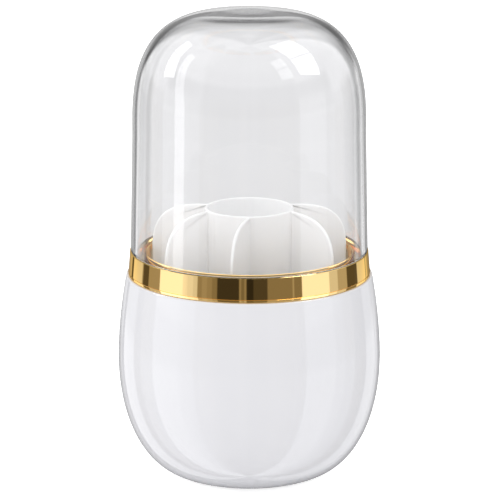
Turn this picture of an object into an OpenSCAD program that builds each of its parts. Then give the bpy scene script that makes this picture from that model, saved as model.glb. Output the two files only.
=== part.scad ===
// Makeup organizer with a dust cover: a round white pot on a hidden turntable foot, a gold
// ring around its mouth, a divider with a centre tube and seven fins, and a clear dome cover.
// The origin is the centre of the footprint, +Z is up, and -Y is the front. Millimetres.

/* [Pot] */
// Largest radius of the pot
belly_r = 65; // [60:0.5:75]
// Height of the largest radius above the table
belly_z = 60.6; // [52:0.2:70]
// Radius of the flat underside
base_r = 31.9; // [31:0.1:38]
// Height of the ledge that the gold ring stands on
ledge_z = 102; // [96:0.5:110]
// Width of the ledge outside the gold ring
ledge_step = 1.1; // [0.6:0.1:2]
// Wall of the pot
pot_wall = 2.6; // [2:0.1:3.2]
// Fullness of the outline below the belly, where 2 is an ellipse
lower_fullness = 2.1; // [1.9:0.05:2.5]
// Exponent of the outline above the belly, where 2 is a parabola
upper_fullness = 1.7; // [1.5:0.05:2.2]
// Gap between the underside of the pot and the table
foot_gap = 1.5; // [1.2:0.1:2.5]

/* [Gold ring] */
// Outer radius of the ring at its top, flush with the dome
ring_top_r = 58.75; // [56.5:0.25:60]
// Flare of the ring towards its lower edge
ring_flare = 0.95; // [0.5:0.05:1.4]
// Height of the ring
ring_h = 12.2; // [11:0.1:16]
// Wall of the band at the top
band_t = 1; // [0.8:0.1:1.3]
// Bevel of the upper edge
ring_bevel = 0.5; // [0.2:0.1:0.8]
// Height of the bead below the fine groove
bead_h = 1.3; // [0.8:0.1:2]
// Depth of the fine groove above the bead
groove_d = 0.25; // [0.1:0.05:0.4]
// Height of the snap bead above the ledge
snap_z = 3.5; // [2:0.1:4.5]
// Radius of the snap bead
snap_r = 0.45; // [0.3:0.05:0.6]

/* [Seat ring] */
// Depth of the channel below the seat of the dome
channel_d = 3; // [2.6:0.1:3.6]
// Plate under the channel
plate_t = 1.4; // [1:0.1:2]
// Step from the outside of the gold ring in to the collar
collar_inset = 8.15; // [7.65:0.1:10]
// Wall of the collar
collar_t = 1; // [0.8:0.1:1.2]
// Depth of the collar's lip below the seat of the dome
collar_drop = 1; // [0.6:0.1:1.6]
// Length of the collar's skirt below the plate
skirt_h = 5.6; // [3:0.2:10]
// Wall of the pot's neck
neck_wall = 2.4; // [2:0.1:2.8]

/* [Dome cover] */
// Wall of the dome
dome_wall = 3.3; // [2.4:0.1:3.6]
// Thickness of the dome at the crown
crown_t = 2.8; // [2.4:0.1:4]
// Height of the straight side
side_h = 57.9; // [45:0.5:70]
// How far the straight side leans inwards over its height
side_lean = 1.65; // [0.5:0.05:3]
// Height of the rounded crown
crown_h = 59.9; // [50:0.5:70]
// Radius of the flat at the top of the crown
crown_flat_r = 6.8; // [3:0.2:10]
// Fullness of the crown outline, where 2 is an ellipse
crown_fullness = 2.85; // [2.4:0.05:3.4]
// How much fuller the inside of the crown is than its outside
crown_fill = 0.07; // [0:0.01:0.2]
// Height of the locating lip below the seat
lip_h = 2; // [1.2:0.1:2.4]
// Wall of the locating lip
lip_t = 1; // [0.7:0.1:1.1]
// Clearance around the locating lip
lip_gap = 0.3; // [0.2:0.05:0.5]

/* [Divider] */
// Thickness of a fin
fin_t = 1.6; // [1.2:0.1:2.2]
// Place of the front fin around the tube, in degrees from the front
front_root_angle = -1; // [-10:0.5:10]
// Place of its outer edge
front_tip_angle = -9.7; // [-15:0.1:15]
// Place of the two side fins around the tube
side_root_angle = 69.5; // [50:0.5:75]
// Place of their outer edges
side_tip_angle = 52.5; // [45:0.5:60]
// Place of the two fins behind them around the tube
rear_root_angle = 112; // [95:0.5:120]
// Place of their outer edges
rear_tip_angle = 103; // [90:0.5:110]
// Place of the two fins at the back
back_angle = 154.3; // [145:0.1:162]
// How much lower the two fins at the back are
back_fin_drop = 3.5; // [0:0.1:8]
// Outer radius of the centre tube
tube_r = 21.9; // [19:0.1:24]
// Wall of the centre tube
tube_wall = 1.5; // [1.2:0.1:2.2]
// Height of the tube's rim above the seat of the dome
rim_rise = 21.3; // [15:0.1:32]
// Height of the rounded shoulder of a fin
fin_shoulder_h = 26; // [20:0.5:32]
// Fullness of the shoulder, where 2 is an ellipse
fin_fullness = 3; // [2.2:0.05:3.4]
// Radius of the lower outer corner of a fin
fin_foot_r = 6; // [4:0.5:9]
// Radius of the fillets between the fins and the tube
root_r = 0.8; // [0.6:0.1:2.5]
// Thickness of the divider's floor
floor_t = 1.8; // [1.4:0.1:2.4]
// Gap between the fins and the collar
fin_gap = 0.5; // [0.3:0.1:0.8]
// Gap between the divider's floor and the wall of the pot
floor_gap = 3; // [2:0.1:5]
// Height of the rim that centres the divider on the raised floor
centring_h = 3; // [2:0.2:4.5]

/* [Turntable] */
// Radius of the recess in the underside of the pot
recess_r = 28; // [27:0.1:28.3]
// Thickness of the raised floor over the recess
web_t = 4.2; // [4:0.1:6]
// Outer radius of the foot plate
foot_r = 26; // [25.6:0.1:26.5]
// Thickness of the foot plate
foot_t = 3.4; // [3.2:0.1:4]
// Thickness of the upper race
race_t = 3; // [2.8:0.1:4]
// Gap between the foot plate and the upper race
race_gap = 2.4; // [2.2:0.1:2.8]
// Radius of a ball
ball_r = 2; // [1.9:0.05:2.1]
// Number of balls
ball_n = 12; // [8:1:16]
// Radius of the circle of balls
ball_circle_r = 17; // [16:0.1:17.4]
// Clearance between a ball and its grooves
ball_gap = 0.1; // [0.08:0.01:0.15]
// Thickness of the ball cage
cage_t = 1.2; // [1:0.1:1.4]
// Width of the ball cage
cage_w = 6; // [5.6:0.1:6.4]
// Clearance between a ball and its pocket
pocket_gap = 0.15; // [0.1:0.01:0.25]
// Radius of the pivot screw's shoulder
pivot_r = 3; // [2.6:0.1:3.4]
// Running clearance around the shoulder
pivot_gap = 0.06; // [0.03:0.01:0.09]
// Height of the hub above the foot plate
hub_h = 1.4; // [1.2:0.1:1.6]
// Number of race screws
screw_n = 4; // [3:1:6]
// Radius of the circle of race screws
screw_circle_r = 23.4; // [23:0.1:23.8]
// Thickness of the silicone grip ring
grip_t = 1.2; // [1:0.1:1.4]
// How far the grip ring stands out of the foot plate
grip_proud = 0.6; // [0.5:0.05:0.7]
// Width of the grip ring
grip_w = 5.6; // [4:0.1:6]

/* [Hidden] */
$fn = 96;

clear_tint = [0.85, 0.88, 0.9, 0.35];
gold = [0.85, 0.65, 0.3];
gloss_white = [0.94, 0.94, 0.95];
satin_white = [0.9, 0.9, 0.89];
steel = [0.7, 0.71, 0.72];

curve_steps = 18;
// How far a cutter reaches past the face it cuts
over = 1;
// Clearances: pressed, around the neck, in a screw hole, under a screw head, past a screw's end, running
press_gap = 0.1;
fit_gap = 0.15;
thread_gap = 0.05;
head_gap = 0.2;
end_gap = 0.2;
run_gap = 0.05;
// Small edges
edge_r = 0.8;
edge_start = 15;
dome_edge_r = 0.5;
chamfer = 0.3;
fine_chamfer = 0.2;
tip_chamfer = 0.4;
foot_chamfer = 0.6;
fin_drop = 0.4;
fillet_cut = 0.03;

seat_z = ledge_z + ring_h;
shoulder_r = ring_top_r + ring_flare + ledge_step;
shoulder_z = ledge_z - edge_r;
collar_r = ring_top_r - collar_inset;
neck_r = ring_top_r - band_t - fit_gap;
neck_in_r = neck_r - neck_wall;
channel_z = seat_z - channel_d;
plate_z = channel_z - plate_t;
dome_in_r = ring_top_r - dome_wall;
flange_in_r = dome_in_r + lip_t + lip_gap;
groove_h = 0.35;
bead_taper = 0.1;
snap_centre_r = neck_r + fit_gap + snap_r * 0.3;
rib_h = 2;
inner_slope_h = 6;

race_z = grip_proud + foot_t + race_gap;
recess_z = race_z + race_t;
island_r = recess_r + pot_wall;
island_z = recess_z + web_t;
cavity_z = foot_gap + pot_wall;
foot_top_z = grip_proud + foot_t;
ball_z = foot_top_z + race_gap / 2;
hub_top_z = foot_top_z + hub_h;
hub_r = 8;
race_hub_z = hub_top_z + 0.2;
washer_t = 0.6;
washer_edge = 0.5;
head_t = 1.5;
head_z = grip_proud + 0.25;
head_r = pivot_r + 2;
well_r = head_r + 1;
thread_r = pivot_r - 1;
thread_l = 3.4;
socket_r = 1.7;
socket_d = 0.9;
screw_r = 1.1;
screw_l = 3;
screw_head_r = 2.1;
screw_head_h = 1.4;
slot_l = 2.6;
slot_w = 0.5;
slot_d = 0.7;
grip_r = foot_r - grip_w - 1.2;

fin_r = collar_r - fin_gap;
rim_z = seat_z + rim_rise;
divider_top = island_z + floor_t;
FIN_ROOTS = [front_root_angle, side_root_angle, rear_root_angle, back_angle,
             -back_angle, -rear_root_angle, -side_root_angle];
FIN_TIPS = [front_tip_angle, side_tip_angle, rear_tip_angle, back_angle,
            -back_angle, -rear_tip_angle, -side_tip_angle];
FIN_DROPS = [for (root = FIN_ROOTS) abs(root) == back_angle ? fin_drop + back_fin_drop : fin_drop];

// Quarter of a superellipse from (r0 + a, z0) up to (r0, z0 + b). A negative b runs downwards.
function quarter(r0, z0, a, b, fullness, steps = curve_steps) =
    [for (i = [0 : steps]) let (t = 90 * i / steps)
        [r0 + a * pow(cos(t), 2 / fullness), z0 + b * pow(sin(t), 2 / fullness)]];

// Points of an arc around (r, z) from angle a0 to angle a1.
function arc(r, z, radius, a0, a1, steps = 5) =
    [for (i = [0 : steps]) let (t = a0 + (a1 - a0) * i / steps) [r + radius * cos(t), z + radius * sin(t)]];

function backwards(points) = [for (i = [len(points) - 1 : -1 : 0]) points[i]];

// The pot's outline from its underside up to the belly, moved inwards by inset.
function lower_curve(inset) =
    backwards(quarter(base_r, belly_z, belly_r - inset - base_r, foot_gap + inset - belly_z,
        lower_fullness));

// The pot's outline from just above the belly up to height top, moved inwards by inset.
function upper_curve(inset, top) =
    [for (i = [1 : curve_steps]) let (z = belly_z + (top - belly_z) * i / curve_steps,
        rise = (z - belly_z) / (shoulder_z - belly_z))
        [belly_r - inset - (belly_r - shoulder_r) * pow(rise, upper_fullness), z]];

// Radius of the pot's inner wall at a height below the belly.
function inner_r(z) =
    let (sink = (belly_z - z) / (belly_z - cavity_z))
    base_r + (belly_r - pot_wall - base_r) * pow(1 - pow(sink, lower_fullness), 1 / lower_fullness);

// The point at a radius and an angle from the front, which is -Y.
function at(radius, turn) = [radius * sin(turn), -radius * cos(turn)];

// Copies around the Z axis, with the first one at the front.
module around(n) {
    for (i = [0 : n - 1]) rotate(i * 360 / n - 90) children();
}

module dome_cover() {
    lean_r = ring_top_r - side_lean;
    crown_z = seat_z + side_h;
    outer = concat(
        arc(ring_top_r - dome_edge_r, seat_z + dome_edge_r, dome_edge_r, -90, 0),
        quarter(crown_flat_r, crown_z, lean_r - crown_flat_r, crown_h, crown_fullness));
    inner = backwards(quarter(crown_flat_r, crown_z, lean_r - dome_wall - crown_flat_r,
        crown_h - crown_t, crown_fullness + crown_fill));
    lip = [
        [dome_in_r, seat_z - lip_h], [dome_in_r + lip_t - chamfer, seat_z - lip_h],
        [dome_in_r + lip_t, seat_z - lip_h + chamfer], [dome_in_r + lip_t, seat_z]];
    color(clear_tint) rotate_extrude()
        polygon(concat(lip, outer, [[0, crown_z + crown_h], [0, crown_z + crown_h - crown_t]], inner));
}

module trim_ring() {
    low_r = ring_top_r + ring_flare;
    bead_r = low_r - bead_taper;
    inner_wall = neck_r + fit_gap;
    bead_z = ledge_z + bead_h;
    band = [
        [inner_wall, ledge_z], [low_r - chamfer, ledge_z], [low_r, ledge_z + chamfer],
        [bead_r, bead_z - groove_h / 2], [bead_r - groove_d, bead_z], [bead_r, bead_z + groove_h / 2],
        [ring_top_r, seat_z - ring_bevel], [ring_top_r - ring_bevel, seat_z],
        [flange_in_r + fine_chamfer, seat_z], [flange_in_r, seat_z - fine_chamfer],
        [flange_in_r, channel_z], [inner_wall, channel_z]];
    color(gold) rotate_extrude() union() {
        polygon(band);
        intersection() {
            translate([snap_centre_r, ledge_z + snap_z]) circle(snap_r);
            translate([inner_wall - snap_r, ledge_z]) square([snap_r * 2, channel_z - ledge_z]);
        }
    }
}

module seat_ring() {
    lip_z = seat_z - collar_drop;
    skirt_z = plate_z - skirt_h;
    outer_r = collar_r + collar_t;
    rib_r = neck_in_r - 2 * press_gap;
    color(gold) rotate_extrude() polygon(concat(
        [[collar_r, skirt_z], [outer_r, skirt_z], [outer_r, plate_z],
         [rib_r - collar_t, plate_z], [rib_r - collar_t, plate_z - rib_h], [rib_r, plate_z - rib_h],
         [rib_r, plate_z], [neck_r, plate_z], [neck_r, channel_z], [outer_r, channel_z]],
        arc(collar_r + collar_t / 2, lip_z - collar_t / 2, collar_t / 2, 0, 180)));
}

module pot_shell() {
    inner_top = ledge_z - inner_slope_h;
    outer = concat(
        lower_curve(0), upper_curve(0, shoulder_z),
        arc(shoulder_r - edge_r, ledge_z - edge_r, edge_r, edge_start, 90));
    neck = [[neck_r, ledge_z], [neck_r, plate_z], [neck_in_r, plate_z], [neck_in_r, ledge_z]];
    cavity = concat(backwards(upper_curve(pot_wall, inner_top)), backwards(lower_curve(pot_wall)));
    color(gloss_white) difference() {
        rotate_extrude() difference() {
            polygon(concat(
                [[0, recess_z], [recess_r, recess_z], [recess_r, foot_gap + tip_chamfer],
                 [recess_r + tip_chamfer, foot_gap]],
                outer, neck, cavity, [[island_r, cavity_z], [island_r, island_z], [0, island_z]]));
            translate([snap_centre_r, ledge_z + snap_z]) circle(snap_r + press_gap);
        }
        around(screw_n) translate([screw_circle_r, 0, recess_z - over])
            cylinder(r = screw_r + thread_gap, h = over + screw_l + end_gap);
    }
}

// One fin in its own plane. X runs outwards from the tube's face, and Y is the height.
module fin_outline(length, drop) {
    inner = -tube_wall / 2;
    foot_z = divider_top - floor_t / 4;
    polygon(concat(
        [[inner, foot_z - floor_t / 4], [length - fin_foot_r, foot_z - floor_t / 4]],
        arc(length - fin_foot_r, foot_z + fin_foot_r, fin_foot_r, -90, 0),
        quarter(0, rim_z - fin_shoulder_h - drop, length, fin_shoulder_h, fin_fullness),
        [[inner, rim_z - drop]]));
}

// The concave fillets along both sides of a fin's root, which is the origin, with the tube's axis at
// the point axis. They reach a little into the tube and the fin.
module root_fillets(axis, drop) {
    for (side = [-1, 1]) {
        centre_y = side * (fin_t / 2 + root_r);
        centre = [axis.x + sqrt(pow(tube_r + root_r, 2) - pow(centre_y - axis.y, 2)), centre_y];
        inset = axis + (centre - axis) * (tube_r - tube_wall / 3) / (tube_r + root_r);
        translate([0, 0, divider_top - floor_t / 2])
            linear_extrude(rim_z - drop - divider_top) difference() {
                polygon([[-tube_wall / 3, 0], [centre.x, 0], centre, inset]);
                translate(centre) circle(root_r + fillet_cut);
            }
    }
}

// One fin from its root at the tube to its tip, each given by its angle from the front. Its top is
// that much below the tube's rim.
module fin(root, tip, drop) {
    start = at(tube_r, root);
    along = at(fin_r, tip) - start;
    turn = atan2(along.y, along.x);
    axis = [-start.x * cos(turn) - start.y * sin(turn), start.x * sin(turn) - start.y * cos(turn)];
    translate([start.x, start.y, 0]) rotate(turn) {
        rotate([90, 0, 0]) linear_extrude(fin_t, center = true) fin_outline(norm(along), drop);
        root_fillets(axis, drop);
    }
}

module divider() {
    floor_r = inner_r(island_z) - floor_gap;
    rim_r = tube_wall / 2;
    color(satin_white) union() {
        rotate_extrude() polygon(concat(
            [[0, island_z], [island_r + 0.3, island_z], [island_r + 0.3, island_z - centring_h],
             [island_r + 0.3 + tube_wall, island_z - centring_h], [island_r + 0.3 + tube_wall, island_z],
             [floor_r, island_z], [floor_r, divider_top], [tube_r, divider_top]],
            arc(tube_r - rim_r, rim_z - rim_r, rim_r, 0, 180),
            [[tube_r - tube_wall, divider_top], [0, divider_top]]));
        for (i = [0 : len(FIN_ROOTS) - 1]) fin(FIN_ROOTS[i], FIN_TIPS[i], FIN_DROPS[i]);
    }
}

// The half round track that a ball row rolls in.
module track() {
    translate([ball_circle_r, ball_z]) circle(ball_r + ball_gap);
}

module upper_race() {
    color(satin_white) difference() {
        rotate_extrude() difference() {
            union() {
                translate([0, race_z]) square([recess_r - press_gap, race_t]);
                translate([0, race_hub_z]) square([hub_r, race_t]);
            }
            track();
        }
        translate([0, 0, race_hub_z - over])
            cylinder(r = thread_r + thread_gap, h = over + thread_l + end_gap);
        around(screw_n) translate([screw_circle_r, 0, race_z - over]) {
            cylinder(r = screw_r + fit_gap, h = race_t + 2 * over);
            cylinder(r = screw_head_r + head_gap, h = over + head_gap + screw_head_h);
        }
    }
}

module race_screws() {
    head_base = race_z + head_gap;
    color(steel) around(screw_n) translate([screw_circle_r, 0, 0]) difference() {
        union() {
            translate([0, 0, head_base]) cylinder(r = screw_head_r, h = screw_head_h);
            translate([0, 0, head_base]) cylinder(r = screw_r, h = recess_z - head_base + screw_l);
        }
        for (turn = [0, 90]) rotate(turn)
            translate([-slot_l / 2, -slot_w / 2, head_base - over]) cube([slot_l, slot_w, over + slot_d]);
    }
}

module pivot_screw() {
    color(steel) difference() {
        rotate_extrude() polygon([
            [0, head_z], [head_r - chamfer, head_z], [head_r, head_z + chamfer], [head_r, head_z + head_t],
            [pivot_r, head_z + head_t], [pivot_r, race_hub_z], [thread_r, race_hub_z],
            [thread_r, race_hub_z + thread_l - tip_chamfer],
            [thread_r - tip_chamfer, race_hub_z + thread_l], [0, race_hub_z + thread_l]]);
        translate([0, 0, head_z - over]) cylinder(r = socket_r, h = over + socket_d, $fn = 6);
    }
}

module thrust_washer() {
    color(steel) translate([0, 0, head_z + head_t]) difference() {
        cylinder(r = head_r + washer_edge, h = washer_t);
        translate([0, 0, -over]) cylinder(r = pivot_r + pivot_gap, h = washer_t + 2 * over);
    }
}

module ball_cage() {
    color(satin_white) translate([0, 0, ball_z - cage_t / 2]) difference() {
        cylinder(r = ball_circle_r + cage_w / 2, h = cage_t);
        translate([0, 0, -over]) cylinder(r = ball_circle_r - cage_w / 2, h = cage_t + 2 * over);
        around(ball_n) translate([ball_circle_r, 0, -over])
            cylinder(r = ball_r + pocket_gap, h = cage_t + 2 * over);
    }
}

module bearing_balls() {
    color(steel) around(ball_n) translate([ball_circle_r, 0, ball_z]) sphere(ball_r, $fn = 48);
}

module foot_plate() {
    seat_top = head_z + head_t + washer_t + run_gap;
    color(satin_white) rotate_extrude() difference() {
        polygon([
            [pivot_r + pivot_gap, seat_top], [well_r, seat_top], [well_r, grip_proud],
            [foot_r - foot_chamfer, grip_proud], [foot_r, grip_proud + foot_chamfer],
            [foot_r, foot_top_z - tip_chamfer], [foot_r - tip_chamfer, foot_top_z],
            [hub_r, foot_top_z], [hub_r, hub_top_z],
            [pivot_r + pivot_gap, hub_top_z]]);
        track();
        translate([grip_r - press_gap, 0]) square([grip_w + 2 * press_gap, grip_t]);
    }
}

module grip_ring() {
    color([0.8, 0.8, 0.8]) rotate_extrude() translate([grip_r, 0]) square([grip_w, grip_t]);
}

dome_cover();
trim_ring();
seat_ring();
pot_shell();
divider();
upper_race();
race_screws();
pivot_screw();
thrust_washer();
ball_cage();
bearing_balls();
foot_plate();
grip_ring();
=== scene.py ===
# %% [markdown]
# A makeup organizer in Blender.
# The real one is a round white pot with a gold ring around its mouth, a white divider for brushes
# inside it, and a clear dome on top against dust. This file builds what the eye sees of it, around
# the CAD model, which is loaded first and gives the place and the size of each part.

# %% Load the CAD model
import math
import bmesh
import bpy
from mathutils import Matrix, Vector


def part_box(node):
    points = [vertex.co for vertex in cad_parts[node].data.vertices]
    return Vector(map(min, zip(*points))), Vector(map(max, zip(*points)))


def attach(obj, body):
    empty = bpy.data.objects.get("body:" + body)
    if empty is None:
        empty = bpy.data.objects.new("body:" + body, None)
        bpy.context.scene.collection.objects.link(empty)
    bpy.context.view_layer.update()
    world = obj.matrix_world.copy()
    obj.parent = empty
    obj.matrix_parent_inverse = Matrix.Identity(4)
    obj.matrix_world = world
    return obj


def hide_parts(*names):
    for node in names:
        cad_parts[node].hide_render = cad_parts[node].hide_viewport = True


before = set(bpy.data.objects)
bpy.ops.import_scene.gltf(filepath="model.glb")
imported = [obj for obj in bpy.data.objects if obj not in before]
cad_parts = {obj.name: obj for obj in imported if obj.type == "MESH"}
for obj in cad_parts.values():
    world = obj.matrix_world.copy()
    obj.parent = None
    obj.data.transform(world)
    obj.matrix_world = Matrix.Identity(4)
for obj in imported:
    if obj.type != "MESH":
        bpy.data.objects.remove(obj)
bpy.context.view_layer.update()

# %% [markdown]
# The CAD is drawn in millimetres and Blender works in metres, so each length below is written in
# millimetres and turned into metres where the mesh is made. The sizes are the ones that the CAD is
# built from. R stands for a radius from the axis, Z for a height above the table, T for a thickness.
# Here are those that more than one piece needs. The others stand with their piece.

# %% Sizes that several pieces share, in millimetres
MM = 0.001
TOP_Z = 232.0
SEAT_Z = 114.2        # the dome stands here, on top of the gold band
LEDGE_Z = 102.0       # the gold band stands here, on the pot's ledge
FLANGE_Z = 109.8      # the inner ring rests here, on the pot's neck
CHANNEL_Z = 111.18    # its upper side, which is the floor of the dome's channel
RING_R = 58.75        # the gold band at its top
NECK_R = 57.6         # the pot's neck, inside the band
FLOOR_Z = 13.6        # the divider stands here, inside the pot
HAIR = 0.02           # the smallest gap or overlap between pieces
low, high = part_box("trim_ring")
print("gold band in the CAD, mm:", round(low.z / MM, 2), "to", round(high.z / MM, 2))
print("gold band here, mm:", LEDGE_Z, "to", SEAT_Z)

# %% [markdown]
# A superellipse is an ellipse whose corners are fuller. Its quarter is the outline of the dome's
# crown, of the pot's lower half and of the fins' shoulders. Blender's own curves could follow it by
# hand, but a formula gives exactly the shape of the CAD. It is cut into even steps of its angle,
# and into many of them, because glass and gloss show every facet.

# %% Curves that the outlines share
def quarter(r0, z0, across, up, fullness, steps=48):
    """Points of a quarter superellipse from (r0 + across, z0) to (r0, z0 + up)."""
    points = []
    for i in range(steps + 1):
        turn = math.pi / 2 * i / steps
        cos, sin = max(math.cos(turn), 0.0), math.sin(turn)
        points.append((r0 + across * cos ** (2 / fullness), z0 + up * sin ** (2 / fullness)))
    return points


def arc(r, z, radius, start, stop, steps=8):
    """Points of a circle's arc around (r, z), with its two angles in degrees."""
    angles = [math.radians(start + (stop - start) * i / steps) for i in range(steps + 1)]
    return [(r + radius * math.cos(a), z + radius * math.sin(a)) for a in angles]


def line(start, stop, steps):
    """Points between two ends, without the last one."""
    return [(start[0] + (stop[0] - start[0]) * i / steps,
             start[1] + (stop[1] - start[1]) * i / steps) for i in range(steps)]


for fullness in (2, 2.85):
    halfway = quarter(0, 0, 1, 1, fullness, 2)[1]
    print("fullness", fullness, "passes through", [round(v, 2) for v in halfway])

# %% [markdown]
# Nearly every piece here is round, as if it came off a lathe. Blender has a Screw modifier for
# that, but a mesh written directly gives full control of which edges stay sharp, so one helper
# turns an outline around the Z axis. An outline point on the axis becomes a single vertex, and the
# ring of faces closes on itself, so the result is a watertight shell.

# %% A mesh with sharp and soft edges
def new_object(name, verts, faces, smooth_angle=35.0):
    """A mesh object whose edges stay sharp where the faces turn by more than an angle."""
    mesh = bpy.data.meshes.new(name)
    mesh.from_pydata([Vector(v) * MM for v in verts], [], faces)
    bm = bmesh.new()
    bm.from_mesh(mesh)
    bmesh.ops.recalc_face_normals(bm, faces=bm.faces)
    limit = math.radians(smooth_angle)
    for edge in bm.edges:
        edge.smooth = len(edge.link_faces) == 2 and edge.calc_face_angle(0.0) < limit
    for face in bm.faces:
        face.smooth = True
    bm.to_mesh(mesh)
    bm.free()
    obj = bpy.data.objects.new(name, mesh)
    bpy.context.scene.collection.objects.link(obj)
    return obj


# %% A lathe for closed outlines
def lathe(name, outline, smooth_angle=35.0, segments=288):
    """A closed outline of (radius, height) points turned around the Z axis."""
    verts, rings = [], []
    for r, z in outline:
        if r < 1e-6:
            rings.append([len(verts)] * segments)
            verts.append((0.0, 0.0, z))
            continue
        rings.append([len(verts) + k for k in range(segments)])
        for k in range(segments):
            turn = 2 * math.pi * k / segments
            verts.append((r * math.sin(turn), -r * math.cos(turn), z))
    faces = []
    for i, ring in enumerate(rings):
        after = rings[(i + 1) % len(rings)]
        for k in range(segments):
            n = (k + 1) % segments
            corners = [ring[k], ring[n], after[n], after[k]]
            face = [v for j, v in enumerate(corners) if v != corners[j - 1]]
            if len(face) > 2:
                faces.append(face)
    piece = new_object(name, verts, faces, smooth_angle)
    print(name, "has", len(outline), "outline points and", len(faces), "faces")
    return piece


# %% [markdown]
# The dome is one moulding of clear acrylic. What makes it read as real is its thickness: the light
# bends in the wall. A single skin with a glass shader would show none of the dark lines that a real
# wall has along its edges, and a Solidify modifier would make it equally thick everywhere. So the
# shell has an outline of its own inside, with a thinner and fuller crown. Its foot is rounded and
# steps in a little, and a small lip drops into the ring. The foot stands a hair above the gold, as
# two faces in one place confuse the renderer.

# %% Sizes of the dome
DOME_WALL = 3.3
CROWN_T = 2.8
CROWN_Z = 172.1       # the crown starts here
LEAN_R = 57.1         # the dome leans in, from the ring's radius to this one
CROWN_FLAT = 6.8      # the radius of the flat in the middle of the crown
OUTER_FULLNESS = 2.85
INNER_FULLNESS = 2.92
CROWN_STEPS = 72
FOOT_CLEAR = 0.03
FOOT_STEP = 0.35
FOOT_ROUND = 0.25
LIP_H = 2.0
LIP_T = 1.0
LIP_CHAMFER = 0.3
print("dome: wall", DOME_WALL, "mm, crown", CROWN_T, "mm")

# %% Dome
foot_z = SEAT_Z + FOOT_CLEAR
lip_z = SEAT_Z - LIP_H
inner_r = RING_R - DOME_WALL
inner_top = TOP_Z - CROWN_T
outer_side = line((RING_R - FOOT_STEP, foot_z + FOOT_ROUND), (LEAN_R, CROWN_Z), 24)
outer_crown = quarter(CROWN_FLAT, CROWN_Z, LEAN_R - CROWN_FLAT, TOP_Z - CROWN_Z,
                      OUTER_FULLNESS, CROWN_STEPS)
inner_crown = quarter(CROWN_FLAT, CROWN_Z, LEAN_R - DOME_WALL - CROWN_FLAT, inner_top - CROWN_Z,
                      INNER_FULLNESS, CROWN_STEPS)
inner_side = line((LEAN_R - DOME_WALL, CROWN_Z), (inner_r, lip_z + 0.1), 24)
lip = [(inner_r, lip_z + 0.1), (inner_r + 0.1, lip_z), (inner_r + LIP_T - LIP_CHAMFER, lip_z),
       (inner_r + LIP_T, lip_z + LIP_CHAMFER), (inner_r + LIP_T, foot_z)]
foot = arc(RING_R - FOOT_STEP - FOOT_ROUND, foot_z + FOOT_ROUND, FOOT_ROUND, -90, 0)[:-1]
dome = lathe("dome", lip + foot + outer_side + outer_crown + [(0, TOP_Z), (0, inner_top)]
             + inner_crown[::-1][:-1] + inner_side)

# %% [markdown]
# The gold band closes the mouth of the pot, and it is what the eye sees first. It is plated plastic
# and polished like a mirror. It flares a little, and has a bevel at its top and a fine groove above
# the bead at its foot. A Bevel modifier could round its edges, but on a mirror the slope of each
# small face decides which lamp it shows. The bevel and the groove are written as points, flatter
# than 45 degrees, because at 45 degrees they would mirror the window overhead as a white blot.

# %% Gold band
RING_LOW_R = 59.7
BAND_IN_R = 56.75
NECK_CLEAR = 0.15
BEAD_ROUND = 0.45
GROOVE_Z = LEDGE_Z + 1.45
GROOVE_DEPTH = 0.32
BEVEL_ACROSS, BEVEL_DOWN = 0.52, 0.36
RIM_EDGE = 0.2
band_foot_z = LEDGE_Z + HAIR
groove = [(RING_LOW_R, GROOVE_Z), (RING_LOW_R - GROOVE_DEPTH, GROOVE_Z + 0.18),
          (RING_LOW_R - GROOVE_DEPTH, GROOVE_Z + 0.25), (RING_LOW_R - 0.14, GROOVE_Z + 0.31)]
bevel = [(RING_R, SEAT_Z - BEVEL_DOWN), (RING_R - BEVEL_ACROSS, SEAT_Z - 0.03),
         (BAND_IN_R + 0.25, SEAT_Z)]
band = lathe("gold_band", [
    (NECK_R + NECK_CLEAR, band_foot_z), (RING_LOW_R - BEAD_ROUND, band_foot_z),
    *arc(RING_LOW_R - BEAD_ROUND, band_foot_z + BEAD_ROUND, BEAD_ROUND, -80, 0, 6),
    *groove, *line(groove[-1], bevel[0], 6)[1:], *bevel,
    *arc(BAND_IN_R + RIM_EDGE, SEAT_Z - RIM_EDGE, RIM_EDGE, 90, 180, 4),
    (BAND_IN_R, CHANNEL_Z + HAIR), (NECK_R + NECK_CLEAR, CHANNEL_Z + HAIR)], 25)

# %% [markdown]
# The inner ring lies on the pot's neck. A spigot under its flange centres it, and a collar hangs
# down around the brushes. Its upper side is the channel for the dome's lip. A thin upstand runs
# just inside that lip: through the dome it is the gold inner wall that the photograph shows. Its
# inner face leans back, since an upright one would mirror only the white fins beside it.

# %% Gold channel
COLLAR_R = 50.6
COLLAR_T = 1.0
COLLAR_LOW_Z = 104.2
COLLAR_TOP_Z = SEAT_Z - 0.05
COLLAR_ROUND = 0.35
DRAFT_Z = 112.4       # above this the collar's outer face leans in
SPIGOT_IN_R, SPIGOT_OUT_R, SPIGOT_Z = 54.0, 55.0, 107.8
UPSTAND_IN_R, UPSTAND_OUT_R = 54.15, 55.28
UPSTAND_Z = 113.95
UPSTAND_T = 0.36      # its thickness at the top
EDGE_R, EDGE_H = 0.08, 0.1
collar_out_r = COLLAR_R + COLLAR_T
underside = [(COLLAR_R, COLLAR_LOW_Z), (collar_out_r, COLLAR_LOW_Z), (collar_out_r, FLANGE_Z),
             (SPIGOT_IN_R, FLANGE_Z), (SPIGOT_IN_R, SPIGOT_Z), (SPIGOT_OUT_R, SPIGOT_Z),
             (SPIGOT_OUT_R, FLANGE_Z), (NECK_R, FLANGE_Z), (NECK_R, CHANNEL_Z)]
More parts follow.
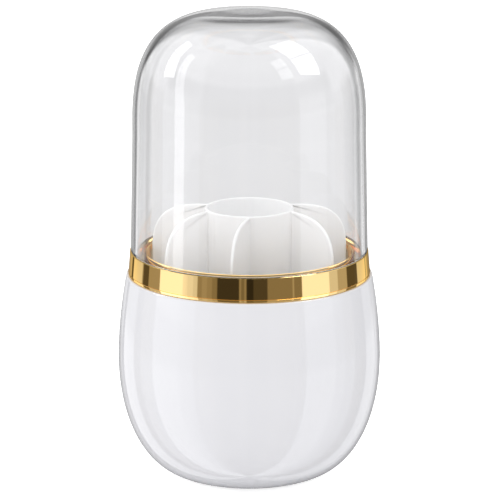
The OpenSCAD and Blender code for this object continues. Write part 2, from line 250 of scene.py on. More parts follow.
upstand = [(UPSTAND_OUT_R, CHANNEL_Z), (UPSTAND_OUT_R, UPSTAND_Z - EDGE_H),
           (UPSTAND_OUT_R - EDGE_R, UPSTAND_Z), (UPSTAND_OUT_R - UPSTAND_T + EDGE_R, UPSTAND_Z),
           (UPSTAND_OUT_R - UPSTAND_T, UPSTAND_Z - EDGE_H), (UPSTAND_IN_R, CHANNEL_Z)]
collar = [(collar_out_r, CHANNEL_Z), (collar_out_r - 0.03, DRAFT_Z),
          *arc(COLLAR_R + COLLAR_ROUND, COLLAR_TOP_Z - COLLAR_ROUND, COLLAR_ROUND, 12, 180)]
channel = lathe("gold_channel", underside + upstand + collar, 30)

# %% [markdown]
# The pot is a thick-walled egg of glossy plastic. A sphere could be scaled and sculpted towards it,
# but its outline in the photograph is two clear curves that meet at the belly, so it is turned from
# those. Its rim steps in to the neck that the rings sit on. The inside is modelled too, since it
# shows between the fins, and the underside has the round recess that hides the turntable.

# %% The pot's curves
POT_WALL = 2.6
BELLY_R, BELLY_Z = 65.0, 60.6
SHOULDER_R, SHOULDER_Z = 60.8, 101.2
BASE_R, BASE_Z = 31.9, 1.5
UPPER_POWER = 1.7
LOWER_FULLNESS = 2.1


def upper_curve(inset, top, steps=40):
    """The outline above the belly, moved inwards by inset."""
    points = []
    for i in range(1, steps + 1):
        z = BELLY_Z + (top - BELLY_Z) * i / steps
        rise = (z - BELLY_Z) / (SHOULDER_Z - BELLY_Z)
        points.append((BELLY_R - inset - (BELLY_R - SHOULDER_R) * rise ** UPPER_POWER, z))
    return points


def lower_curve(inset):
    """The outline from the underside up to the belly, moved inwards by inset."""
    return quarter(BASE_R, BELLY_Z, BELLY_R - inset - BASE_R, BASE_Z + inset - BELLY_Z,
                   LOWER_FULLNESS, 64)[::-1]


print("pot: base", 2 * BASE_R, "mm, belly", 2 * BELLY_R, "mm across")

# %% Pot
SHOULDER_ROUND = 0.8
RECESS_R, RECESS_Z, RECESS_EDGE = 28.0, 9.4, 0.4
NECK_IN_R = 55.2
STEP_R = 30.6         # a raised floor inside, on which the divider is centred
INNER_TOP_Z = 96.0    # the inner curve ends here, and the wall narrows to the neck
neck_top_z = FLANGE_Z - HAIR
recess = [(0, RECESS_Z), (RECESS_R, RECESS_Z), (RECESS_R, BASE_Z + RECESS_EDGE),
          (RECESS_R + RECESS_EDGE, BASE_Z)]
shoulder = arc(SHOULDER_R - SHOULDER_ROUND, SHOULDER_Z, SHOULDER_ROUND, 15, 90)
neck = [(NECK_R, LEDGE_Z), (NECK_R, neck_top_z), (NECK_IN_R, neck_top_z), (NECK_IN_R, LEDGE_Z)]
inside = [*upper_curve(POT_WALL, INNER_TOP_Z)[::-1], *lower_curve(POT_WALL)[::-1],
          (STEP_R, BASE_Z + POT_WALL), (STEP_R, FLOOR_Z), (0, FLOOR_Z)]
pot = lathe("pot", recess + lower_curve(0) + upper_curve(0, SHOULDER_Z) + shoulder + neck + inside)

# %% [markdown]
# The divider is one moulding: a floor, a tube and seven thin fins. The fins aren't radial. Each
# leans to one side, so it has one angle where it meets the tube and another at its tip. The two
# behind the tube stay lower than the others.

# %% Where the fins stand
TUBE_R = 21.9
TUBE_WALL = 1.5
RIM_Z = 135.5         # the tube's upper rim
FIN_R = 50.1          # the tips of the fins
FIN_T = 1.6
ROOT_ANGLES = [-1, 69.5, 112, 154.3, -154.3, -112, -69.5]
TIP_ANGLES = [-9.7, 52.5, 103, 154.3, -154.3, -103, -52.5]
FIN_DROPS = [0.4, 0.4, 0.4, 3.9, 3.9, 0.4, 0.4]    # how far a fin stays under the tube's rim


def at(radius, degrees):
    """The point at a radius and an angle from the front, which is -Y."""
    turn = math.radians(degrees)
    return Vector((radius * math.sin(turn), -radius * math.cos(turn)))


print("fin lengths, mm:", [round((at(FIN_R, b) - at(TUBE_R, a)).length, 1)
                           for a, b in zip(ROOT_ANGLES, TIP_ANGLES)])

# %% [markdown]
# A fin has a round foot corner, a straight tip and a long shoulder that rises to the tube. All of
# its edge is round, so that brushes slide past it. A cube with a Bevel modifier can't follow that
# outline, so a helper draws the plate as loops that step inwards from the outline while they rise
# to its full thickness. The step is taken along the outline's own inward normals.

# %% The outline of a fin
FLOOR_T = 1.8
SHOULDER_H, SHOULDER_FULLNESS = 26.0, 3.0
FIN_FOOT_R = 6.0


def fin_outline(length, drop):
    """The anticlockwise outline of a fin in its own plane, from its foot in the tube's wall."""
    inner, foot, straight = -TUBE_WALL / 2, FLOOR_Z + FLOOR_T * 0.6, RIM_Z - SHOULDER_H - drop
    points = line((inner, foot), (length - FIN_FOOT_R, foot), 4)
    points += arc(length - FIN_FOOT_R, foot + FIN_FOOT_R, FIN_FOOT_R, -90, 0, 14)
    points += line((length, foot + FIN_FOOT_R), (length, straight), 10)[1:]
    points += quarter(0, straight, length, SHOULDER_H, SHOULDER_FULLNESS, 40)
    return points + line((inner, RIM_Z - drop), (inner, foot), 6)


def inward(points):
    """The unit normals of a closed outline, towards its inside."""
    normals = []
    for i in range(len(points)):
        before, after = points[i - 1], points[(i + 1) % len(points)]
        run, rise = after[0] - before[0], after[1] - before[1]
        length = math.hypot(run, rise)
        normals.append((-rise / length, run / length))
    return normals


print("a fin's outline has", len(fin_outline(30, 0)), "points")

# %% A plate with round edges
def plate(name, points, thickness, start, along, rounds=5):
    """An upright plate with round edges, from a point of the plan and in one direction of it."""
    normals, half, count = inward(points), thickness / 2, len(points)
    side = Vector((-along.y, along.x))
    verts = []
    for k in range(-rounds, rounds + 1):
        lift = math.pi / 2 * k / rounds
        inset = half * (1 - math.cos(lift))
        for (s, z), (ns, nz) in zip(points, normals):
            place = start + along * (s + ns * inset) + side * (half * math.sin(lift))
            verts.append((place.x, place.y, z + nz * inset))
    faces = [tuple(reversed(range(count))), tuple(2 * rounds * count + i for i in range(count))]
    for a in range(2 * rounds):
        for i in range(count):
            j = (i + 1) % count
            faces.append((a * count + i, a * count + j, (a + 1) * count + j, (a + 1) * count + i))
    return new_object(name, verts, faces)


# %% [markdown]
# Where a fin meets the tube, the mould leaves a small concave fillet. A Bevel modifier on the
# welded edge would be the usual way, but it fails where many small faces meet. So each fillet is a
# strip of its own: its section is a piece of a circle that touches the fin's side and the tube.

# %% The fillets at a fin's root
FILLET_R = 0.8
OVERLAP = 0.5         # how deep the strip reaches into the fin and the tube
FILLET_LOWER = 0.6    # how far it stays under the top of the fin


def fillet(name, start, along, side, drop):
    """The concave strip between one side of a fin and the tube."""
    across = Vector((-along.y, along.x)) * side
    axis = Vector((-start.dot(along), -start.dot(across)))
    centre_y = FIN_T / 2 + FILLET_R
    reach = TUBE_R + FILLET_R
    centre = Vector((axis.x + math.sqrt(reach ** 2 - (centre_y - axis.y) ** 2), centre_y))
    to_axis = axis - centre
    last = math.degrees(math.atan2(to_axis.y, to_axis.x)) % 360
    curve = arc(centre.x, centre.y, FILLET_R + HAIR, 270, last if last < 270 else last - 360, 6)
    inset = axis + (centre - axis) * ((TUBE_R - OVERLAP) / reach)
    section = [(-OVERLAP, 0.0), (centre.x, 0.0)] + curve + [tuple(inset)]
    verts = []
    for z in (FLOOR_Z + FLOOR_T / 2, RIM_Z - drop - FILLET_LOWER):
        for s, y in section:
            place = start + along * s + across * y
            verts.append((place.x, place.y, z))
    count = len(section)
    faces = [(i, (i + 1) % count, (i + 1) % count + count, i + count) for i in range(count)]
    faces += [tuple(reversed(range(count))), tuple(range(count, 2 * count))]
    return new_object(name, verts, faces)


print("fillets of", FILLET_R, "mm beside fins of", FIN_T, "mm")

# %% [markdown]
# The floor and the tube are turned in one piece, with a rib below that fits over the pot's raised
# floor. Fins and fillets overlap them a little, and Boolean modifiers weld all of it into one skin,
# as the mould would. Pieces that only stick into each other would look much the same, but the
# mesh would have hidden faces inside.

# %% A weld
def to_triangles(obj):
    """Cuts every face into triangles, since a weld can fold faces of many corners."""
    bm = bmesh.new()
    bm.from_mesh(obj.data)
    bmesh.ops.triangulate(bm, faces=bm.faces)
    bm.to_mesh(obj.data)
    bm.free()


def weld(target, tool):
    """Joins a tool object to the target and removes it."""
    to_triangles(tool)
    join = target.modifiers.new("weld", "BOOLEAN")
    join.operation, join.solver, join.object = "UNION", "MANIFOLD", tool
    graph = bpy.context.evaluated_depsgraph_get()
    mesh = bpy.data.meshes.new_from_object(target.evaluated_get(graph))
    target.modifiers.clear()
    old, target.data = target.data, mesh
    bpy.data.meshes.remove(old)
    bpy.data.objects.remove(tool)


# %% Floor, tube and fins in one
FLOOR_R = 47.0
RIB_IN_R, RIB_OUT_R, RIB_Z = 30.9, 32.4, 10.6
RIM_ROUND = TUBE_WALL / 2
floor_top = FLOOR_Z + FLOOR_T
divider = lathe("divider_moulding", [
    (0, FLOOR_Z), (RIB_IN_R, FLOOR_Z), (RIB_IN_R, RIB_Z), (RIB_OUT_R, RIB_Z), (RIB_OUT_R, FLOOR_Z),
    (FLOOR_R, FLOOR_Z), (FLOOR_R, floor_top),
    *line((TUBE_R, floor_top), (TUBE_R, RIM_Z - RIM_ROUND), 6),
    *arc(TUBE_R - RIM_ROUND, RIM_Z - RIM_ROUND, RIM_ROUND, 0, 180, 10),
    (TUBE_R - TUBE_WALL, floor_top), (0, floor_top)], segments=192)
to_triangles(divider)
sides = []
for i, (root, tip, drop) in enumerate(zip(ROOT_ANGLES, TIP_ANGLES, FIN_DROPS)):
    start = at(TUBE_R, root)
    reach = at(FIN_R, tip) - start
    along = reach.normalized()
    sides.append(Vector((-along.y, along.x, 0)))
    weld(divider, plate(f"fin_{i}", fin_outline(reach.length, drop), FIN_T, start, along))
    for side in (-1, 1):
        weld(divider, fillet(f"fillet_{i}_{side + 1}", start, along, side, drop))
print("divider:", len(divider.data.polygons), "faces after welding")

# %% [markdown]
# A weld leaves new edges where two pieces met. Those inside a flat face are dissolved, and the ones
# that turn sharply are marked again. The two sides of a fin are found by their direction and shaded
# flat, while the narrow strips around them are shaded smooth: so a fin has a flat side and an edge
# that looks round. Smooth shading alone would spread the edge's highlight over the whole side.

# %% Shade the divider
bm = bmesh.new()
bm.from_mesh(divider.data)
bmesh.ops.dissolve_limit(bm, angle_limit=math.radians(0.2), verts=bm.verts, edges=bm.edges)
for edge in bm.edges:
    edge.smooth = len(edge.link_faces) == 2 and edge.calc_face_angle(0.0) < math.radians(40)
for face in bm.faces:
    face.smooth = max(abs(face.normal.dot(side)) for side in sides) < math.cos(math.radians(2))
flat_faces = sum(not face.smooth for face in bm.faces)
open_edges = sum(len(edge.link_faces) != 2 for edge in bm.edges)
bm.to_mesh(divider.data)
bm.free()
print("divider:", flat_faces, "flat faces,", open_edges, "open edges")

# %% [markdown]
# Each new piece takes the place of its CAD solid, and rides on the same moving body: the dome lifts
# off, and the rest turns with the pot.
# The other eight pieces, those of the turntable, keep their CAD meshes: they are plain, and all of
# them are under the pot.

# %% Put the pieces on their bodies
PIECES = {
    "dome": (dome, "dome_cover", "cover", "clear_acrylic"),
    "gold_band": (band, "trim_ring", "pot", "gold_plate"),
    "gold_channel": (channel, "seat_ring", "pot", "gold_plate"),
    "pot": (pot, "pot_shell", "pot", "white_gloss"),
    "divider_moulding": (divider, "divider", "pot", "white_satin"),
}
for name, (piece, node, body, slot) in PIECES.items():
    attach(piece, body)
    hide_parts(node)
    print(name, "replaces", node, "on body", body)

# %% [markdown]
# Materials are written as formulas. A Wire holds one output of a shader node, and adding or
# multiplying wires adds the Math nodes that do it, so a mask reads like arithmetic. The same could
# be clicked together in the shader editor, but a formula is shorter to read and to change.

# %% A wire
class Wire:
    """An output socket that can be used in a sum, a product or a comparison."""

    def __init__(self, shader, socket):
        self.shader, self.socket = shader, socket

    def maths(self, operation, *values):
        """A Math node with its inputs in order, each one a wire or a number."""
        return self.shader.add("ShaderNodeMath", {"operation": operation}, dict(enumerate(values)))

    def __add__(self, other):
        return self.maths("ADD", self, other)

    def __radd__(self, other):
        return self.maths("ADD", other, self)

    def __sub__(self, other):
        return self.maths("SUBTRACT", self, other)

    def __rsub__(self, other):
        return self.maths("SUBTRACT", other, self)

    def __mul__(self, other):
        return self.maths("MULTIPLY", self, other)

    def __rmul__(self, other):
        return self.maths("MULTIPLY", other, self)

    def __truediv__(self, other):
        return self.maths("DIVIDE", self, other)

    def __gt__(self, other):
        return self.maths("GREATER_THAN", self, other)

    def __lt__(self, other):
        return self.maths("LESS_THAN", self, other)

    def pick(self, output):
        """Another output of the same node."""
        return Wire(self.shader, self.socket.node.outputs[output])


OPERATORS = ("add", "sub", "mul", "truediv", "gt", "lt")
print("a wire handles:", [name for name in OPERATORS if f"__{name}__" in vars(Wire)])

# %% [markdown]
# Every node comes from one method, Shader.add: its type, its settings, and then what goes into its
# sockets, which is a wire or a plain value. Nothing else touches the node tree.

# %% A node tree
class Shader:
    """A node tree that is filled through one method."""

    def __init__(self, owner):
        owner.use_nodes = True
        self.tree = owner.node_tree
        self.tree.nodes.clear()

    def add(self, kind, settings=None, sockets=None, output=0):
        """A new node. The setting "stops" fills a Color Ramp with (position, grey level) pairs."""
        node = self.tree.nodes.new(kind)
        for name, value in (settings or {}).items():
            if name == "stops":
                ramp = node.color_ramp.elements
                while len(ramp) < len(value):
                    ramp.new(1.0)
                for stop, (place, level) in zip(ramp, value):
                    stop.position, stop.color = place, (level, level, level, 1.0)
            else:
                setattr(node, name, value)
        for name, value in (sockets or {}).items():
            if isinstance(value, Wire):
                self.tree.links.new(value.socket, node.inputs[name])
            else:
                node.inputs[name].default_value = value
        return Wire(self, node.outputs[output]) if node.outputs else None


# %% Nodes that several finishes use
def noise(shader, size_mm, detail=2.0):
    """Noise whose features are about size_mm across, from 0 to 1."""
    return shader.add("ShaderNodeTexNoise", {}, {
        "Vector": shader.add("ShaderNodeTexCoord").pick("Object"),
        "Scale": 1 / (size_mm * MM), "Detail": detail})


def bump(shader, height, depth_mm):
    """A normal that is bent by a relief of so many millimetres."""
    return shader.add("ShaderNodeBump", {}, {"Height": height, "Strength": 1.0,
                                             "Distance": depth_mm * MM})


def mix(shader, factor, first, second):
    """A colour between two others. It is the third output of the Mix node."""
    return shader.add("ShaderNodeMix", {"data_type": "RGBA"},
                      {"Factor": factor, "A": first, "B": second}, 2)


def principled(shader, sockets):
    """The Principled shader and the material's output."""
    surface = shader.add("ShaderNodeBsdfPrincipled", {}, sockets)
    shader.add("ShaderNodeOutputMaterial", {}, {"Surface": surface})


print("noise of 1 mm has a scale of", 1 / MM, "in a space of metres")

# %% [markdown]
# Most finishes here differ in small things: how large their fine relief is, how deep it is, and
# how much the roughness changes from place to place. So one function builds them. Its noise is
# measured in real millimetres, because the texture coordinates are the object's own, in metres. A
# picture as texture would need the mesh to be unwrapped, and would blur close up.

# %% A finish with fine relief
PATCH_MM = 18.0       # the size of the patches in which colour and roughness drift
PATCH_TONE = 0.985    # how bright the darker patches are


def finish(name, colour, roughness, spread, relief_mm, depth_mm, **constants):
    """A material whose colour, roughness and relief vary a little over the surface."""
    material = bpy.data.materials.new(name)
    shader = Shader(material)
    grain = noise(shader, relief_mm, 3.0)
    patch = noise(shader, PATCH_MM)
    darker = (*[c * PATCH_TONE for c in colour], 1)
    principled(shader, {"Base Color": mix(shader, patch, darker, (*colour, 1)),
                        "Roughness": roughness + spread * (patch - 0.5),
                        "Normal": bump(shader, grain, depth_mm), **constants})
    print("finish", name, "with relief", depth_mm, "mm deep")
    return material


# %% [markdown]
# The pot is moulded in a polished tool, so it is as smooth as lacquer: hardly any roughness, and
# waves a thousandth of a millimetre deep. Its white is a cool one and not a full one. A white
# of 1 would leave no room for the reflections on it, which are what shows its shape.

# %% Glossy white
white_gloss = finish("white_gloss_moulding", (0.745, 0.745, 0.775), roughness=0.03, spread=0.02,
                     relief_mm=1.6, depth_mm=0.0012)

# %% [markdown]
# The divider comes from a tool with a fine matt skin. It mirrors nothing sharp, and its relief is
# finer and deeper than the pot's. The plain plastic parts of the turntable have the same skin.

# %% Satin white
white_satin = finish("white_satin_moulding", (0.94, 0.94, 0.94), roughness=0.42, spread=0.06,
                     relief_mm=0.35, depth_mm=0.004)

# %% [markdown]
# The rings are plated. Plating has no colour of its own below the metal's reflection, so Metallic is
# 1 and the base colour is that of gold. The shader's metal turns grey where the eye only grazes it,
# and the gilding in the photograph hardly does, so a specular tint keeps its colour there.

# %% Gold
gold = finish("gold_plate", (0.98, 0.72, 0.34), roughness=0.04, spread=0.02, relief_mm=2.5,
              depth_mm=0.0008, **{"Metallic": 1.0, "Specular Tint": (1.0, 0.76, 0.4, 1)})

# %% [markdown]
# The turntable has zinc-coated screws, polished balls and a ring of silicone that grips the table.
# Zinc has a fine grain, balls have hardly any, and silicone is matt and a little grey from dust.

# %% Steel and silicone
steel = finish("zinc_steel", (0.62, 0.63, 0.66), roughness=0.3, spread=0.1, relief_mm=0.2,
               depth_mm=0.003, Metallic=1.0)
ball_steel = finish("polished_steel", (0.74, 0.75, 0.77), roughness=0.05, spread=0.02,
                    relief_mm=0.5, depth_mm=0.0003, Metallic=1.0)
silicone = finish("silicone_rubber", (0.76, 0.76, 0.75), roughness=0.6, spread=0.08,
                  relief_mm=0.3, depth_mm=0.006)

# %% [markdown]
# Clear acrylic is the one finish that lives from light going through it. Transmission with the
# right index of refraction bends the light in the wall, a slight tint greys it as it passes, and a
# very shallow, wide relief stands for the waves that a moulded wall has. The dome is hidden from
# diffuse rays. They carry soft light to the divider, and the curved wall would turn them into rays
# of another kind, which see another part of the studio. A real dome lets nearly all of that soft
# light in.

# %% Clear acrylic
WAVES_MM, WAVES_DEPTH_MM = 30.0, 0.01
acrylic = bpy.data.materials.new("clear_acrylic")
shader = Shader(acrylic)
waves = bump(shader, noise(shader, WAVES_MM, 1.0), WAVES_DEPTH_MM)
principled(shader, {"Base Color": (0.99, 0.99, 1.0, 1), "Roughness": 0.0, "IOR": 1.49,
                    "Transmission Weight": 1.0, "Normal": waves})
dome.visible_diffuse = False
print("dome seen by diffuse rays:", dome.visible_diffuse)

# %% [markdown]
# Now every piece gets its finish, those of the turntable too. The CAD colours its solids plainly, so
# each mesh first loses the material that it came with.

# %% Give every piece its finish
WEARS = [
    (acrylic, ["dome"]),
    (gold, ["gold_band", "gold_channel"]),
    (white_gloss, ["pot"]),
    (white_satin, ["divider_moulding", "upper_race", "ball_cage", "foot_plate"]),
    (steel, ["race_screws", "pivot_screw", "thrust_washer"]),
    (ball_steel, ["bearing_balls"]),
    (silicone, ["grip_ring"]),
]
for material, names in WEARS:
    for name in names:
        mesh = bpy.data.objects[name].data
        mesh.materials.clear()
        mesh.materials.append(material)
    print(material.name, "on", *names)

# %% [markdown]
# The light is a white studio. A photographer hangs bright panels and dark cards around a glossy
# thing, and polished gold is nothing but the picture of them. Lamps and panels could be built as
# objects, but here the world shader is a map by direction, which is easier to set to the degree:
# strips of brightness by azimuth, windows overhead, and one map of its own for rays that come
# through the acrylic. Azimuth 0 is the camera's side, and heights are degrees above the horizon.
# The renderer normally also samples the world directly, without telling the shader which kind of
# ray asks. That is switched off, so that each kind of ray gets its own answer.

# %% The studio as a map of directions
world = bpy.data.worlds.new("white_studio")
bpy.context.scene.world = world
world.cycles.sampling_method = "NONE"
sky = Shader(world)
direction = sky.add("ShaderNodeTexCoord").pick("Generated")
parts = sky.add("ShaderNodeSeparateXYZ", {}, {"Vector": direction})
dir_x, dir_y, dir_z = parts, parts.pick("Y"), parts.pick("Z")
azimuth = dir_x.maths("ARCTAN2", dir_x, 0 - dir_y) * (180 / math.pi)
height = dir_z.maths("ARCSINE", dir_z) * (180 / math.pi)
print("sky nodes for the direction:", len(sky.tree.nodes))

# %% [markdown]
# Three helpers draw on that map. A Color Ramp holds levels that run from one angle to the next, and
# it has room for 32 of them. Its colours are meant to lie between 0 and 1, so the levels are scaled
# down for it and up again behind it. Strips are such a ramp with steep steps, and a blend is one
# soft step.

# %% Levels, strips and blends
def levels(value, low, high, stops, brightest=1.5):
    """A brightness that runs in straight lines between (value, level) pairs."""
    ramp = [((v - low) / (high - low), level / brightest) for v, level in stops]
    return brightest * sky.add("ShaderNodeValToRGB", {"stops": ramp},
                               {"Fac": (value - low) / (high - low)})


def strips(low, high, bands, soft=0.4):
    """Brightness in strips by azimuth: each band is its first degree and its level."""
    stops = [(low, bands[0][1])]
    for (_, before), (start, after) in zip(bands, bands[1:]):
        stops += [(start - soft, before), (start + soft, after)]
    return levels(azimuth, low, high, stops, 4.0)


def blend(value, start, stop):
    """0 below start and 1 above stop, with a soft change between them."""
    return sky.add("ShaderNodeMapRange", {"interpolation_type": "SMOOTHSTEP"},
                   {"Value": value, "From Min": start, "From Max": stop})


# %% [markdown]
# The strips follow the gold band. Where the band turns by one degree, what it mirrors turns by two,
# so the bright and dark fields that the photograph shows on it give the azimuth and the level of
# each panel. The band sees only heights of about -13 to -1 degrees. Above and below them the same
# strips go on with more contrast, because the white pot mirrors them only faintly.

# %% Panels and cards around the object
LEFT_STRIPS = [(-180, .78), (-167, .6), (-151, .03), (-144, .77), (-122, .4), (-120, .1),
               (-110, .38), (-93, 1.26), (-65, 1.02), (-62, .95)]
FRONT_STRIPS = [(-60, .86), (-54, .75), (-49.5, .3), (-45, .36), (-40, .31), (-35, .24),
                (-30, .05), (-9.3, .3), (-7.5, .19), (-4.5, .3), (-2.6, .03), (3.9, .075),
                (17, .25), (41, .42), (42.5, .24), (50.5, 1.16)]
RIGHT_STRIPS = [(60, 1.16), (81, .72), (92, .48), (105.5, .1), (124, .75), (145, .2), (147, .6),
                (170, .78)]
is_right = azimuth > 0
is_front = (azimuth > -60) * (1 - (azimuth > 60))
left = strips(-180, -60, LEFT_STRIPS)
front = strips(-60, 60, FRONT_STRIPS)
right = strips(60, 180, RIGHT_STRIPS)
walls = is_front * front + (1 - is_front) * (right * is_right + left * (1 - is_right))
print("strips around the object:", len(LEFT_STRIPS) + len(FRONT_STRIPS) + len(RIGHT_STRIPS))

# %% More contrast off the ring
OFF_RING_LEVEL, OFF_RING_CONTRAST = 0.1, 1.4
at_ring = blend(height, -13, -10) * (1 - blend(height, -3.5, -1))
walls = walls * at_ring + (OFF_RING_LEVEL + OFF_RING_CONTRAST * walls) * (1 - at_ring)
print("sky nodes with the strips:", len(sky.tree.nodes))

# %% [markdown]
# The windows lie on a ceiling: the point where a direction meets it is (x / z, y / z). A window is
# what lies on the inner side of each of its four edges. Its corners lie where the corners of the
# highlights on the dome lead, when a ray from the camera is followed over the dome to the ceiling.
# A window's bars are thin darker lines across it.

# %% Windows overhead
BAR_SOFT = 0.07       # half the width of a bar on the ceiling
BAR_DARK = 3.7        # 4 would make the middle of a bar black
HORIZON = 0.02        # the ceiling ends at this height of a direction


def edge_mask(u, v, first, second, soft=0.015):
    """1 on the left of the line from first to second on the ceiling, 0 on its right."""
    run, rise = second[0] - first[0], second[1] - first[1]
    length = math.hypot(run, rise)
    gap = (v - first[1]) * (run / length) - (u - first[0]) * (rise / length)
    return blend(gap, -soft, soft)


def window(corners, bars):
    """1 inside a four-sided light with anticlockwise corners, and less on its bars."""
    u, v = dir_x / dir_z, dir_y / dir_z
    mask = dir_z > HORIZON
    for first, second in zip(corners, corners[1:] + corners[:1]):
        mask = mask * edge_mask(u, v, first, second)
    for first, second in bars:
        beyond = edge_mask(u, v, first, second, BAR_SOFT)
        mask = mask * (1 - BAR_DARK * beyond * (1 - beyond))
    return mask


left_window = window([(-0.765, 0.535), (-4.06, 0.796), (-3.07, -0.178), (-0.744, 0.319)],
                     [((-1.371, 0.038), (-1.337, 0.487))])
right_window = window([(0.242, -0.061), (1.52, -0.902), (2.456, -0.302), (0.436, 0.293)],
                      [((0.738, -0.36), (0.993, 0.143))])
print("sky nodes with two windows:", len(sky.tree.nodes))

# %% [markdown]
# If a ray that has passed through the acrylic saw the white background and nothing else, the dome
# would vanish. Real clear pieces are drawn by dark cards beside and behind them: the wall bends
# their picture into thin dark lines along the outline and in the crown. So these rays get a map of
# their own. It has cards by azimuth, and straight behind the object a run of levels by height.

# %% Cards seen through the acrylic
LEFT_CARDS = [(-180, .84), (-172, .76), (-167, .62), (-163, .58), (-160, .34), (-155, .36),
              (-151, .55), (-148, .8), (-145, .9), (-138, 1.1), (-118, 1.2), (0, 1.2)]
RIGHT_CARDS = [(0, 1.05), (118, 1.05), (130, 1.3), (133, 1.25), (136, .5), (140, .12), (144, .5),
               (147, .72), (151, .86), (155, .74), (160, .34), (163, .4), (167, .62), (172, .76),
               (180, .84)]
NEAR_CARD = [(-90, .9), (-24, .9), (-18, 1), (-3, .9), (1, .25), (7, .2), (14, .22), (18, .8),
             (24, 1.1), (90, 1.2)]
BEHIND = [(-90, .3), (-45, .05), (-22, .05), (-18, .9), (-14, 1), (-3, 1), (1, .6), (6, .35),
          (9, .5), (12, .4), (15, .8), (20, .05), (28, .0), (33, .8), (40, 1.2), (90, 1.4)]
off_front = azimuth.maths("ABSOLUTE", azimuth)
deep = blend(off_front, 168, 175)
in_back = blend(0 - azimuth, 144, 150) + blend(azimuth, 134, 146)
side_on = (levels(azimuth, -180, 0, LEFT_CARDS) * (1 - is_right)
           + levels(azimuth, 0, 180, RIGHT_CARDS) * is_right)
upright = levels(height, -90, 90, NEAR_CARD) * (1 - deep) + levels(height, -90, 90, BEHIND) * deep
cards = side_on * (1 - in_back + in_back * upright)
print("sky nodes with the cards:", len(sky.tree.nodes))

# %% [markdown]
# In front, the same rays see a dimmer and flatter copy of the strips, with a dark slot above the
# horizon, because the gold inside the dome mirrors what is there. At the sides the cards get
# brighter above the horizon. Two lights shine on the inner side of the wall: a leaning strip
# on the left, which is the long bright line on the dome, and a small window on the right.

# %% Light that comes through the acrylic
FRONT_LEVEL, FRONT_CONTRAST = 0.66, 0.3
HIGH_GAIN = 0.9       # how much brighter the cards are above the horizon
SLOT_DARK = 0.8
STRIP_LIGHT, INNER_WINDOW_LIGHT = 3.3, 3.0
LEAN = 0.36           # degrees of azimuth for each degree of height
beside = blend(off_front, 90, 100)
through = cards * beside + (FRONT_LEVEL + FRONT_CONTRAST * walls) * (1 - beside)
through = through * (1 + HIGH_GAIN * blend(height, 1, 8) * (1 - in_back))
front_slot = (1 - beside) * blend(height, -4, 0) * (1 - blend(height, 18, 26))
through = through * (1 - SLOT_DARK * front_slot)
inner_window = window([(0.396, -0.609), (1.188, -1.499), (1.498, -1.124), (0.531, -0.386)],
                      [((0.673, -0.92), (0.87, -0.644))])
leaning = azimuth + LEAN * height.maths("MAXIMUM", height, 0)
strip = blend(leaning, -81.5, -80) * (1 - blend(leaning, -69.5, -68))
strip = strip * blend(height, -24, -20) * (1 - blend(height, 44, 46))
inner_lights = STRIP_LIGHT * strip + INNER_WINDOW_LIGHT * inner_window
print("sky nodes with the inner lights:", len(sky.tree.nodes))

# %% [markdown]
# What a polished surface mirrors is the strips low down, a plain grey ceiling above them and the two
# windows. Far behind the object, where only grazed surfaces look, it is a map by height: its dark
# and bright bands make the lines in the crown, and its dark lower part draws the thin line around
# the pot.

# %% What gloss and gold mirror
CROWN_SIDE = [(-90, .25), (-14.5, .25), (-12.5, .6), (4, .6), (8, .5), (20, .5), (26, .6),
              (90, .5)]
CROWN_BEHIND = [(-90, .2), (-14.5, .2), (-12.5, .78), (4, .8), (6, 1.2), (8, 1.2), (9.2, .3),
                (14, .3), (16.5, .3), (18, 1.2), (21, 1.2), (24, .9), (28, .3), (33, .3),
                (37, .8), (90, .6)]
CEILING, HIGH_CEILING = 0.45, 0.6
RIGHT_DIMMER = 0.3
WINDOW_LIGHT = 6.0
above = blend(height, 4, 14)
overhead = walls * (1 - above) + CEILING * above + HIGH_CEILING * blend(height, 30, 50)
crown_side = levels(height, -90, 90, CROWN_SIDE) * (1 - RIGHT_DIMMER * is_right)
crown_sky = crown_side * (1 - deep) + levels(height, -90, 90, CROWN_BEHIND) * deep
far = blend(off_front, 148, 156)
mirror = overhead * (1 - far) + crown_sky * far + WINDOW_LIGHT * (left_window + right_window)
print("sky nodes with the mirrored part:", len(sky.tree.nodes))

# %% [markdown]
# Now each kind of ray gets its level. The camera sees white. Rays that light a dull surface see an
# even daylight, a little stronger from above and from the left, so each colour shows about as it is
# written. It grows with each bounce, which stands for the light that a white divider keeps passing
# on inside itself. Rays through the acrylic see their own map, and it is dimmer for those that the
# gold inside has thrown to and fro. All other rays see the mirrored studio.

# %% Who sees what
DAYLIGHT, FROM_ABOVE, FROM_LEFT = 0.98, 0.32, 0.2
BOUNCE_GAIN = 0.25
DIM_ONCE, DIM_TWICE = 0.1, 0.4
path = sky.add("ShaderNodeLightPath")
is_camera, is_through = path, path.pick("Is Transmission Ray")
is_light = path.pick("Diffuse Depth") > 0.5
is_near_wall = path.pick("Transmission Depth") < 2.5
in_gold = (path.pick("Transmission Depth") > 2.5) * (1 - blend(height, 28, 40))
once = (path.pick("Glossy Depth") > 0.5) * blend(height, 2, 8)
twice = path.pick("Glossy Depth") > 1.5
through = through * (1 - in_gold * (DIM_ONCE * once + DIM_TWICE * twice))
seen = is_through * (through + inner_lights * is_near_wall) + (1 - is_through) * mirror
daylight = DAYLIGHT + FROM_ABOVE * dir_z - FROM_LEFT * dir_x
daylight = daylight * (1 - BOUNCE_GAIN + BOUNCE_GAIN * path.pick("Diffuse Depth"))
level = is_camera + (1 - is_camera) * (is_light * daylight + (1 - is_light) * seen)
print("sky nodes with the ray kinds:", len(sky.tree.nodes))

# %% [markdown]
# Dark strips have a warm tint, since a dark field in real gold is brown and not grey. Only mirrored
# light gets it, and not from behind or from above, where white and clear pieces would show it too.

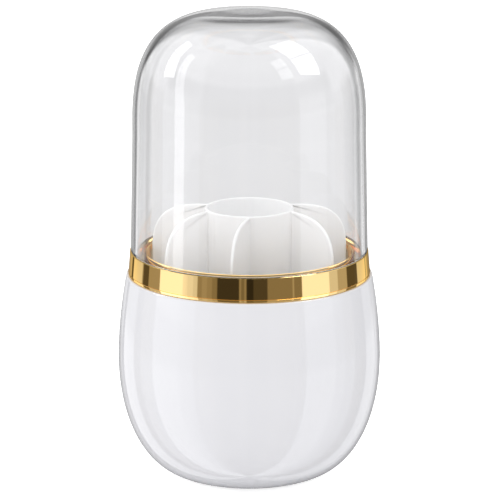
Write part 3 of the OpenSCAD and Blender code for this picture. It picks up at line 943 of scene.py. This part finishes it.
# %% Warm dark strips
WHITE, WARM = (1, 1, 1, 1), (1, 0.82, 0.52, 1)
warmth = (1 - blend(walls, 0.1, 0.9)) * (1 - blend(off_front, 115, 130)) * (1 - above)
warmth = warmth * (1 - is_through) * (1 - is_light) * (1 - is_camera)
tint = mix(sky, warmth, WHITE, WARM)
background = sky.add("ShaderNodeBackground", {}, {"Color": tint, "Strength": level})
sky.add("ShaderNodeOutputWorld", {}, {"Surface": background})
print("sky nodes in all:", len(sky.tree.nodes))

# %% [markdown]
# The floor is plain and pale. It lies at height 0, where the silicone ring stands. A little
# emission that only the camera sees lifts it to white, and what the object takes away from the
# studio light stays visible as a soft shadow. Its light also reaches the underside of the pot.
# Gold, gloss and acrylic don't see the floor, only the studio.

# %% Floor
FLOOR_GREY, BLACK = (0.75, 0.75, 0.75, 1), (0, 0, 0, 1)
bpy.ops.mesh.primitive_plane_add(size=9.0, location=(0, 0, 0))
floor = bpy.context.object
floor.name = "floor"
floor_paint = bpy.data.materials.new("floor_paint")
shader = Shader(floor_paint)
seen_by_camera = shader.add("ShaderNodeLightPath")
principled(shader, {"Base Color": FLOOR_GREY, "Roughness": 0.9, "Specular IOR Level": 0.0,
                    "Emission Color": mix(shader, seen_by_camera, BLACK, FLOOR_GREY),
                    "Emission Strength": 1.0})
floor.data.materials.append(floor_paint)
floor.visible_glossy = False
floor.visible_transmission = False
print("floor:", floor.dimensions.x, "m wide, seen in reflections:", floor.visible_glossy)

# %% [markdown]
# The camera stands 1.3 m away and looks down by 14 degrees, as measured from the ellipses of the
# ring and the tube in the photograph. Its long lens fills the frame: a focal length of 2636 pixels
# in a picture of 500. A shorter lens from nearer by would enlarge the dome against the pot.

# %% Camera
PITCH = math.radians(14.12)
DISTANCE = 1.3
TARGET = Vector((0.00037, 0, 0.1132))
FOCAL_PIXELS, PICTURE_PIXELS = 2636, 500
camera_data = bpy.data.cameras.new("camera")
camera_data.sensor_width = 36.0
camera_data.lens = FOCAL_PIXELS * camera_data.sensor_width / PICTURE_PIXELS
camera = bpy.data.objects.new("camera", camera_data)
back = Vector((0, -math.cos(PITCH), math.sin(PITCH)))
camera.location = TARGET + back * DISTANCE
camera.rotation_euler = (-back).to_track_quat("-Z", "Y").to_euler()
bpy.context.scene.collection.objects.link(camera)
bpy.context.scene.camera = camera
print("lens", round(camera_data.lens, 1), "mm")

# %% [markdown]
# Standard colour management shows each level as the studio gives it, without a film curve that
# would grey the whites. The new pieces must not reach past the solids they stand for.

# %% Colours
bpy.context.scene.view_settings.view_transform = "Standard"
